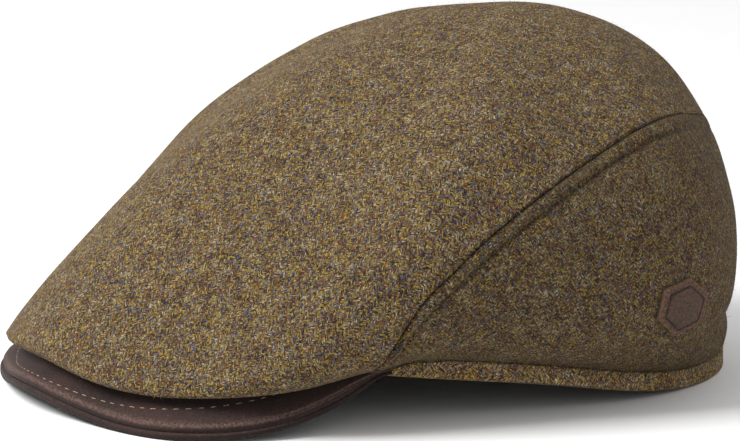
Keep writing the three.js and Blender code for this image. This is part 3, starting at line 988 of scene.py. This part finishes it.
def make_tweed_group():
    tree, given, result = new_group(
        "melange_tweed", "ShaderNodeTree",
        [("Cloth", VECTOR), ("Stripe Width", FLOAT, STRIPE_WIDTH), ("Float Length", FLOAT, FLOAT_LENGTH),
         ("Float Width", FLOAT, FLOAT_WIDTH), ("Brightness", FLOAT, 1), ("Crease", FLOAT, 0)],
        [("Color", COLOR), ("Height", FLOAT)],
    )
    socket = given.outputs
    split = place(tree, "ShaderNodeSeparateXYZ", {0: socket["Cloth"]})
    wander = place(tree, "ShaderNodeTexNoise", {"Vector": socket["Cloth"], "Scale": 0.35, "Detail": 2})
    across = reckon(tree, "ADD", split.outputs[0], reckon(tree, "MULTIPLY", wander.outputs[0], 1.6))
    along = split.outputs[1]
    folded = reckon(tree, "PINGPONG", across, socket["Stripe Width"])
    stripe = reckon(tree, "FLOOR", reckon(tree, "DIVIDE", across, socket["Stripe Width"]))
    slant_along = reckon(tree, "MULTIPLY", reckon(tree, "ADD", folded, along), DIAGONAL)
    slant_across = reckon(tree, "MULTIPLY", reckon(tree, "SUBTRACT", along, folded), DIAGONAL)
    cell = place(tree, "ShaderNodeCombineXYZ", {
        0: reckon(tree, "DIVIDE", slant_along, socket["Float Length"]),
        1: reckon(tree, "DIVIDE", slant_across, socket["Float Width"]),
        2: reckon(tree, "MULTIPLY", stripe, 13.7),
    })
    floats = place(tree, "ShaderNodeTexVoronoi", {
        "Vector": cell.outputs[0], "Scale": 1, "Randomness": 0.85,
    })
    pick = place(tree, "ShaderNodeSeparateColor", {0: floats.outputs["Color"]})
    drift = place(tree, "ShaderNodeTexNoise", {"Vector": socket["Cloth"], "Scale": 0.16, "Detail": 3})
    nudge = reckon(tree, "MULTIPLY", reckon(tree, "SUBTRACT", drift.outputs[0], 0.5), 0.55)
    choice = reckon(tree, "ADD", pick.outputs[0], nudge)
    colors = ramp(tree, choice, [
        (0, paint(42, 37, 42)), (0.15, paint(74, 60, 64)), (0.28, paint(110, 78, 66)),
        (0.4, paint(156, 94, 70)), (0.49, paint(142, 116, 56)), (0.62, paint(190, 160, 64)),
        (0.72, paint(214, 186, 94)), (0.8, paint(112, 108, 106)), (0.88, paint(102, 116, 146)),
        (0.94, paint(164, 152, 128)), (1, paint(218, 206, 176)),
    ])
    hairs = place(tree, "ShaderNodeCombineXYZ", {
        0: reckon(tree, "MULTIPLY", slant_along, 1.4),
        1: reckon(tree, "MULTIPLY", slant_across, 7),
        2: pick.outputs[1],
    })
    fine = place(tree, "ShaderNodeTexNoise", {"Vector": hairs.outputs[0], "Scale": 1, "Detail": 2})
    hair_shade = reckon(tree, "MULTIPLY_ADD", fine.outputs[0], 1.7, 0.15)
    # Painted shade: the colour is darkened by up to a half where a piece keeps crease shade, in seam
    # folds and sewn grooves
    unshaded_share = reckon(tree, "MULTIPLY_ADD", socket["Crease"], -0.5, 1)
    # Brightness is the cloth's own level, and where it differs between pieces it is painted light and
    # shade
    dyed = reckon(tree, "MULTIPLY", hair_shade, socket["Brightness"])
    rounded = reckon(tree, "MULTIPLY_ADD", floats.outputs["Distance"], -1.5, 1.6)
    edge = reckon(tree, "MAXIMUM", rounded, 0.12)
    shade = reckon(tree, "MULTIPLY", reckon(tree, "MULTIPLY", dyed, unshaded_share), edge)
    neps = place(tree, "ShaderNodeTexVoronoi", {"Vector": socket["Cloth"], "Scale": 0.16})
    nep_pick = place(tree, "ShaderNodeSeparateColor", {0: neps.outputs["Color"]})
    nep_size = reckon(tree, "MULTIPLY_ADD", nep_pick.outputs[0], 0.24, -0.12)
    nep = reckon(tree, "LESS_THAN", neps.outputs["Distance"], nep_size)
    nep_color = ramp(tree, nep_pick.outputs[1], [
        (0, paint(96, 118, 168)), (0.4, paint(186, 104, 78)), (0.7, paint(226, 218, 200)),
    ], "CONSTANT")
    speckled = place(tree, "ShaderNodeMix", {
        "Factor": reckon(tree, "MULTIPLY", nep, 0.75), 6: colors, 7: nep_color,
    }, data_type="RGBA")
    lit = place(tree, "ShaderNodeVectorMath", {0: speckled.outputs[2], "Scale": shade}, operation="SCALE")
    height = reckon(tree, "SUBTRACT", reckon(tree, "MULTIPLY", fine.outputs[0], 0.5),
                    reckon(tree, "MULTIPLY", floats.outputs["Distance"], 0.9))
    feed(tree, result, {"Color": lit.outputs[0], "Height": height})
    return tree


tweed_group = make_tweed_group()
IN_MM = (1000, 1000, 1000)


def make_tweed(name, turned, float_size, brightness):
    material, tree, shader = new_material(name)
    uv = place(tree, "ShaderNodeUVMap", uv_map="cloth")
    cloth_way = place(tree, "ShaderNodeMapping", {
        0: uv.outputs[0], "Rotation": (0, 0, turned), "Scale": IN_MM,
    })
    # Painted shade of the seams' folds, kept with the mesh
    crease = place(tree, "ShaderNodeAttribute", attribute_name="crease")
    weave = place(tree, "ShaderNodeGroup", {
        "Cloth": cloth_way.outputs[0], "Brightness": brightness, "Crease": crease.outputs["Fac"],
        "Float Length": FLOAT_LENGTH * float_size, "Float Width": FLOAT_WIDTH * float_size,
    }, node_tree=tweed_group)
    bump = place(tree, "ShaderNodeBump", {
        "Height": weave.outputs["Height"], "Distance": 0.0006, "Strength": 0.9,
    })
    feed(tree, shader, {
        "Base Color": weave.outputs["Color"], "Normal": bump.outputs[0], "Roughness": 0.95,
        "Specular IOR Level": 0.15, "Sheen Weight": 0.1, "Sheen Roughness": 0.6,
        "Sheen Tint": paint(214, 186, 150),
    })
    return material


# One cloth at three levels: partly its own level, partly painted light. The side panels take a lower
# level, painted shade, and the band a higher one, painted light, to match how light falls on each
crown_tweed = make_tweed("crown_tweed", 0, 0.94, 0.5)
side_tweed = make_tweed("side_tweed", 0, 0.84, 0.39)
band_tweed = make_tweed("band_tweed", math.radians(90), 0.84, 0.84)
for piece, material in (
    (top_cloth, crown_tweed), (side_left, side_tweed), (side_right, side_tweed), (band_cloth, band_tweed),
):
    piece.data.materials.append(material)
    print(piece.name, "is made of", material.name)

# %% [markdown]
# ## The leather
# Brown leather with a brushed face: matt, with a faint warm cloudiness, a very fine grain, a few
# short scuffs across it, and paler where it is rubbed. The same group makes the peak darker
# and the patch redder.

# %% Leather group
def make_leather_group():
    tree, given, result = new_group(
        "brushed_leather", "ShaderNodeTree",
        [("Place", VECTOR), ("Dark", COLOR), ("Warm", COLOR), ("Rubbed Color", COLOR),
         ("Rubbed", FLOAT, 0), ("Pressed", FLOAT, 0), ("Scuffs", FLOAT, 0.5)],
        [("Color", COLOR), ("Roughness", FLOAT), ("Height", FLOAT)],
    )
    socket = given.outputs
    clouds = place(tree, "ShaderNodeTexNoise", {"Vector": socket["Place"], "Scale": 0.06, "Detail": 4})
    warm = reckon(tree, "MULTIPLY_ADD", clouds.outputs[0], 2.6, -0.85)
    warm_share = place(tree, "ShaderNodeClamp", {0: warm})
    base = place(tree, "ShaderNodeMix", {
        "Factor": warm_share.outputs[0], 6: socket["Dark"], 7: socket["Warm"],
    }, data_type="RGBA")
    grain = place(tree, "ShaderNodeTexVoronoi", {"Vector": socket["Place"], "Scale": 1.6})
    nap = place(tree, "ShaderNodeTexNoise", {"Vector": socket["Place"], "Scale": 1.4, "Detail": 4})
    stretched = place(tree, "ShaderNodeMapping", {0: socket["Place"], "Scale": (1.1, 1.1, 0.16)})
    scratches = place(tree, "ShaderNodeTexNoise", {
        "Vector": stretched.outputs[0], "Scale": 0.9, "Detail": 2,
    })
    scratched = reckon(tree, "MULTIPLY_ADD", scratches.outputs[0], 9, -5.9)
    scuff = place(tree, "ShaderNodeClamp", {0: scratched})
    scuffed = reckon(tree, "MULTIPLY", scuff.outputs[0], socket["Scuffs"])
    uneven = reckon(tree, "MULTIPLY_ADD", nap.outputs[0], 1.7, -0.35)
    patchy = reckon(tree, "MULTIPLY", socket["Rubbed"], uneven)
    worn = place(tree, "ShaderNodeClamp", {0: reckon(tree, "MULTIPLY_ADD", scuffed, 0.35, patchy)})
    finish = place(tree, "ShaderNodeMix", {
        "Factor": worn.outputs[0], 6: base.outputs[2], 7: socket["Rubbed Color"],
    }, data_type="RGBA")
    nap_shade = reckon(tree, "MULTIPLY_ADD", nap.outputs[0], 1.1, 0.45)
    unpressed = reckon(tree, "MULTIPLY_ADD", socket["Pressed"], -0.7, 1)
    shade = reckon(tree, "MULTIPLY", nap_shade, unpressed)
    lit = place(tree, "ShaderNodeVectorMath", {0: finish.outputs[2], "Scale": shade}, operation="SCALE")
    height = reckon(tree, "ADD", reckon(tree, "MULTIPLY", nap.outputs[0], 0.6),
                    reckon(tree, "MULTIPLY", grain.outputs["Distance"], 0.35))
    feed(tree, result, {
        "Color": lit.outputs[0], "Height": height,
        "Roughness": reckon(tree, "MULTIPLY_ADD", nap.outputs[0], -0.2, 0.92),
    })
    return tree


leather_group = make_leather_group()


def make_leather(name, dark, warm, rubbed_color, scuffs):
    material, tree, shader = new_material(name)
    where = place(tree, "ShaderNodeTexCoord")
    in_mm = place(tree, "ShaderNodeMapping", {0: where.outputs["Object"], "Scale": IN_MM})
    rubbed = place(tree, "ShaderNodeAttribute", attribute_name="rubbed")
    pressed = place(tree, "ShaderNodeAttribute", attribute_name="pressed")
    skin = place(tree, "ShaderNodeGroup", {
        "Place": in_mm.outputs[0], "Dark": dark, "Warm": warm, "Rubbed Color": rubbed_color,
        "Rubbed": rubbed.outputs["Fac"], "Pressed": pressed.outputs["Fac"], "Scuffs": scuffs,
    }, node_tree=leather_group)
    bump = place(tree, "ShaderNodeBump", {
        "Height": skin.outputs["Height"], "Distance": 0.0004, "Strength": 0.7,
    })
    feed(tree, shader, {
        "Base Color": skin.outputs["Color"], "Roughness": skin.outputs["Roughness"],
        "Normal": bump.outputs[0], "Specular IOR Level": 0.14, "Sheen Weight": 0.06,
        "Sheen Roughness": 0.5,
    })
    return material


LEATHERS = (
    (peak_upper, "peak_leather", paint(37, 28, 26), paint(52, 37, 34), paint(108, 85, 77), 0.8),
    (peak_lower, "peak_lower_leather", paint(34, 25, 24), paint(44, 31, 29), paint(66, 49, 44), 0.2),
    (patch, "patch_leather", paint(54, 46, 42), paint(76, 59, 49), paint(120, 89, 70), 0.5),
)
for piece, *finish in LEATHERS:
    piece.data.materials.append(make_leather(*finish))
print("leather on", len(LEATHERS), "pieces")

# %% [markdown]
# ## Stitches
# A row of stitches is one short bent thread, repeated along a line. That is a job for Geometry
# Nodes: the tree spaces points along a curve, sets the thread on each one and turns it to
# follow the line. The result is taken as a plain mesh, so nothing stays live.

# %% Stitch tree
def make_stitch_tree():
    tree, given, result = new_group(
        "row_of_stitches", "GeometryNodeTree",
        [("Line", GEOMETRY), ("Pitch", FLOAT, 0.004), ("Stitch Length", FLOAT, 0.0024),
         ("Thread Radius", FLOAT, 0.0003), ("Thread", MATERIAL)],
        [("Geometry", GEOMETRY)],
    )
    socket = given.outputs
    half = reckon(tree, "MULTIPLY", socket["Stitch Length"], 0.5)
    back = reckon(tree, "MULTIPLY", half, -1)
    sunk = reckon(tree, "MULTIPLY", socket["Thread Radius"], -1.2)
    crest = reckon(tree, "MULTIPLY", socket["Thread Radius"], 2.4)
    start = place(tree, "ShaderNodeCombineXYZ", {0: back, 2: sunk})
    middle = place(tree, "ShaderNodeCombineXYZ", {2: crest})
    end = place(tree, "ShaderNodeCombineXYZ", {0: half, 2: sunk})
    bent = place(tree, "GeometryNodeCurveQuadraticBezier", {
        "Resolution": 6, "Start": start.outputs[0], "Middle": middle.outputs[0], "End": end.outputs[0],
    })
    ring = place(tree, "GeometryNodeCurvePrimitiveCircle", {
        "Resolution": 6, "Radius": socket["Thread Radius"],
    })
    thread = place(tree, "GeometryNodeCurveToMesh", {
        "Curve": bent.outputs[0], "Profile Curve": ring.outputs[0], "Fill Caps": True,
    })
    path = place(tree, "GeometryNodeMeshToCurve", {"Mesh": socket["Line"]})
    points = place(tree, "GeometryNodeCurveToPoints", {
        "Curve": path.outputs[0], "Length": socket["Pitch"],
    }, mode="LENGTH")
    faced = place(tree, "FunctionNodeAlignRotationToVector", {
        "Vector": points.outputs["Tangent"],
    }, axis="X")
    upright = place(tree, "GeometryNodeInputNamedAttribute", {"Name": "lean"}, data_type="FLOAT_VECTOR")
    turned = place(tree, "FunctionNodeAlignRotationToVector", {
        "Rotation": faced.outputs[0], "Vector": upright.outputs[0],
    }, axis="Z", pivot_axis="X")
    row = place(tree, "GeometryNodeInstanceOnPoints", {
        "Points": points.outputs["Points"], "Instance": thread.outputs[0], "Rotation": turned.outputs[0],
    })
    real = place(tree, "GeometryNodeRealizeInstances", {0: row.outputs[0]})
    dyed = place(tree, "GeometryNodeSetMaterial", {
        "Geometry": real.outputs[0], "Material": socket["Thread"],
    })
    feed(tree, result, {0: dyed.outputs[0]})
    return tree


def baked(name, source, tree, values):
    """Runs a Geometry Nodes tree on an object, which it uses up, and returns a plain piece."""
    modifier = source.modifiers.new("recipe", "NODES")
    modifier.node_group = tree
    for item in tree.interface.items_tree:
        if item.item_type == "SOCKET" and item.in_out == "INPUT" and item.name in values:
            modifier[item.identifier] = values[item.name]
    source.update_tag()
    bpy.context.view_layer.update()
    finished = source.evaluated_get(bpy.context.evaluated_depsgraph_get())
    mesh = bpy.data.meshes.new_from_object(finished)
    mesh.name = name
    source.modifiers.remove(modifier)
    bpy.data.objects.remove(source)
    print(name, len(mesh.polygons), "faces")
    return add_object(name, mesh)


def sewn(name, points, normals, stitch, cyclic=False):
    """A row of stitches along the points. The line keeps which way is out of the surface."""
    mesh = bpy.data.meshes.new("sewing_line")
    placed = np.array(points) * MM + np.array(RIM_CENTER)
    count = len(placed)
    edges = [(i, (i + 1) % count) for i in range(count if cyclic else count - 1)]
    mesh.from_pydata(placed.tolist(), edges, [])
    lean = mesh.attributes.new("lean", "FLOAT_VECTOR", "POINT")
    lean.data.foreach_set("vector", np.array(normals, float).ravel())
    return baked(name, add_object("sewing_line", mesh), stitch_tree, stitch)


def make_thread(name, color, dark):
    material, tree, shader = new_material(name)
    where = place(tree, "ShaderNodeTexCoord")
    twist = place(tree, "ShaderNodeTexNoise", {
        "Vector": where.outputs["Object"], "Scale": 2600, "Detail": 1,
    })
    bump = place(tree, "ShaderNodeBump", {"Height": twist.outputs[0], "Distance": 0.0001})
    feed(tree, shader, {
        "Base Color": ramp(tree, twist.outputs[0], [(0.35, dark), (0.6, color)]),
        "Normal": bump.outputs[0], "Roughness": 0.7,
    })
    return material


stitch_tree = make_stitch_tree()
PEAK_STITCH = {
    "Pitch": 0.0039, "Stitch Length": 0.0021, "Thread Radius": 0.00014,
    "Thread": make_thread("pale_thread", paint(172, 146, 124), paint(112, 88, 74)),
}
PATCH_STITCH = {
    "Pitch": 0.0022, "Stitch Length": 0.0016, "Thread Radius": 0.00017,
    "Thread": make_thread("brown_thread", paint(120, 80, 62), paint(70, 46, 38)),
}
SIDE_STITCH = {
    "Pitch": 0.0032, "Stitch Length": 0.0021, "Thread Radius": 0.0002,
    "Thread": make_thread("cloth_thread", paint(92, 76, 54), paint(52, 42, 34)),
}


def sew_peak():
    points, normals = [], []
    rise = np.array([PEAK_WALL - STITCH_SUNK])
    for angle in np.linspace(-STITCH_END, STITCH_END, 240):
        share = np.array([stitch_share(angle)])
        spot = peak_points(angle, share, 0, rise)[0]
        ahead = peak_points(angle + 0.5, np.array([stitch_share(angle + 0.5)]), 0, rise)[0]
        outer = peak_points(angle, share + 0.03, 0, rise)[0]
        normal = np.cross(ahead - spot, outer - spot)
        normal *= np.sign(normal[2]) / np.linalg.norm(normal)
        points.append(spot)
        normals.append(normal)
    return sewn("peak_stitches", points, normals, PEAK_STITCH)


def sew_patch():
    rim = patch_rim() * (1 - SEWN_AT / (PATCH_HEIGHT / 2 * math.cos(math.pi / 6)))
    points = on_patch(rim, np.full(len(rim), SEAM_GAP + PATCH_WALL - 0.25))
    normals = points - on_patch(rim, np.zeros(len(rim)))
    normals /= np.linalg.norm(normals, axis=1)[:, None]
    return sewn("patch_stitches", points, normals, PATCH_STITCH, cyclic=True)


def sew_side(name, sign):
    points, normals = [], []
    for side in np.linspace(SIDE_START + 8, 178, 300):
        length = wall_length(side)
        up = np.array([float(seam_up(side)) - (half_gap(side) + TOPSTITCH_AT) / length])
        depth = TOPSTITCH_DEPTH * seam_depth(side) * pucker(side) - 0.05
        points.append(cloth(sign * side, up, np.array([depth]))[0])
        normals.append(crown_normals(sign * side, up)[0])
    return sewn(name, points, normals, SIDE_STITCH)


peak_stitches = sew_peak()
patch_stitches = sew_patch()
side_stitches_left = sew_side("side_stitches_left", 1)
side_stitches_right = sew_side("side_stitches_right", -1)

# %% [markdown]
# ## Loose fibres
# Wool is hairy. Fine fibres stand off the cloth and soften its outline. Each is a thin bent
# ribbon of a few faces, and Geometry Nodes scatter thousands of them over the outer face.

# %% Fibres
FULL_TURN = 6.2832
FIBRE_WIDTH = 0.04
FIBRE_ROOT = 0.1
FIBRE_STEPS = 4
# In metres: a point inside the cap, and the height under which no fibre grows
INSIDE = Vector((0, RIM_CENTER.y + 0.01, 0.03))
BARE_BELOW = 0.0015
FACING_DOWN = -0.8


def make_fibre(name, length, curl, stand):
    """A thin ribbon that leaves the cloth and bends over it."""
    points = []
    for t in np.linspace(0, 1, FIBRE_STEPS + 1):
        aside = curl * math.sin(math.pi * t)
        up = stand * math.sin(0.75 * math.pi * t) - FIBRE_ROOT * (1 - t)
        half = FIBRE_WIDTH / 2 * (1 - 0.6 * t)
        points += [(length * t * MM, (aside + side * half) * MM, up * MM) for side in (-1, 1)]
    faces = [(2 * i, 2 * i + 1, 2 * i + 3, 2 * i + 2) for i in range(FIBRE_STEPS)]
    mesh = bpy.data.meshes.new(name)
    mesh.from_pydata(points, [], faces)
    return bpy.data.objects.new(name, mesh)


def make_fibre_tree():
    tree, given, result = new_group(
        "loose_fibres", "GeometryNodeTree",
        [("Cloth", GEOMETRY), ("Density", FLOAT, 100000), ("Seed", INTEGER, 3), ("Wool", MATERIAL),
         ("First Fibre", OBJECT), ("Second Fibre", OBJECT), ("Third Fibre", OBJECT)],
        [("Geometry", GEOMETRY)],
    )
    socket = given.outputs
    points = place(tree, "GeometryNodeDistributePointsOnFaces", {
        0: socket["Cloth"], "Density": socket["Density"], "Seed": socket["Seed"],
    })
    choices = place(tree, "GeometryNodeJoinGeometry")
    for label in ("First Fibre", "Second Fibre", "Third Fibre"):
        fibre = place(tree, "GeometryNodeObjectInfo", {"Object": socket[label], "As Instance": True})
        tree.links.new(fibre.outputs["Geometry"], choices.inputs[0])
    spin = place(tree, "FunctionNodeRandomValue", {
        "Min": (-0.5, -0.5, 0), "Max": (0.5, 0.3, FULL_TURN), "Seed": 5,
    }, data_type="FLOAT_VECTOR")
    to_rotation = place(tree, "FunctionNodeEulerToRotation", {0: spin.outputs[0]})
    faced = place(tree, "FunctionNodeRotateRotation", {
        "Rotation": points.outputs["Rotation"], "Rotate By": to_rotation.outputs[0],
    }, rotation_space="LOCAL")
    size = place(tree, "FunctionNodeRandomValue", {2: 0.5, 3: 1.3, "Seed": 9}, data_type="FLOAT")
    scattered = place(tree, "GeometryNodeInstanceOnPoints", {
        "Points": points.outputs["Points"], "Instance": choices.outputs[0], "Pick Instance": True,
        "Rotation": faced.outputs[0], "Scale": size.outputs[1],
    })
    real = place(tree, "GeometryNodeRealizeInstances", {0: scattered.outputs[0]})
    dyed = place(tree, "GeometryNodeSetMaterial", {
        "Geometry": real.outputs[0], "Material": socket["Wool"],
    })
    feed(tree, result, {0: dyed.outputs[0]})
    return tree


def make_wool():
    material, tree, shader = new_material("loose_wool")
    where = place(tree, "ShaderNodeTexCoord")
    pick = place(tree, "ShaderNodeTexNoise", {
        "Vector": where.outputs["Object"], "Scale": 420, "Detail": 0,
    })
    color = ramp(tree, pick.outputs[0], [
        (0.25, paint(70, 56, 44)), (0.42, paint(150, 112, 60)), (0.52, paint(196, 168, 104)),
        (0.62, paint(216, 202, 172)), (0.75, paint(104, 110, 128)),
    ])
    feed(tree, shader, {"Base Color": color, "Roughness": 0.8})
    return material


def outer_face(piece):
    """A copy of only the outer face of a lofted piece, as ground for the fibres."""
    work = bmesh.new()
    work.from_mesh(piece.data)
    bare = []
    for face in work.faces:
        middle = face.calc_center_median()
        inner = face.normal.dot(middle - INSIDE) < 0
        if inner or middle.z < BARE_BELOW or face.normal.z < FACING_DOWN:
            bare.append(face)
    bmesh.ops.delete(work, geom=bare, context="FACES")
    mesh = bpy.data.meshes.new("ground")
    work.to_mesh(mesh)
    work.free()
    return add_object("ground", mesh)


FIBRES = (("fibre_a", 1.6, 0.3, 0.55), ("fibre_b", 2.4, -0.5, 0.7), ("fibre_c", 1.1, 0.15, 0.8))
FUZZY = ((top_cloth, 3, 170000), (side_left, 4, 160000), (side_right, 5, 160000), (band_cloth, 6, 140000))
first, second, third = (make_fibre(*row) for row in FIBRES)
fibre_tree = make_fibre_tree()
wool = make_wool()
fuzz = {}
for piece, seed, density in FUZZY:
    name = piece.name.replace("cloth", "fibres")
    fuzz[piece.name] = baked(name, outer_face(piece), fibre_tree, {
        "Density": density, "Seed": seed, "Wool": wool,
        "First Fibre": first, "Second Fibre": second, "Third Fibre": third,
    })

# %% [markdown]
# ## Everything rides on the cap
# The cap has no joints, so every piece rides on the one body. Each piece says which solid of
# the frame it stands for and which finish of the record it takes.

# %% Pieces, solids and finishes
dressed = (
    (top_cloth, "crown_top", "tweed", [fuzz["crown_top_cloth"]]),
    (side_left, "side_panel_left", "tweed_side", [fuzz["side_panel_cloth_left"], side_stitches_left]),
    (side_right, "side_panel_right", "tweed_side", [fuzz["side_panel_cloth_right"], side_stitches_right]),
    (band_cloth, "band", "tweed_band", [fuzz["band_cloth"]]),
    (peak_upper, "peak_top", "peak_leather", [peak_stitches]),
    (peak_lower, "peak_under", "peak_leather", []),
    (patch, "side_patch", "patch_leather", [patch_stitches]),
)
for piece, node, finish, details in dressed:
    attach(piece, "root")
    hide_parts(node)
    for detail in details:
        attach(detail, "root")
    print(piece.name, "stands for", node)
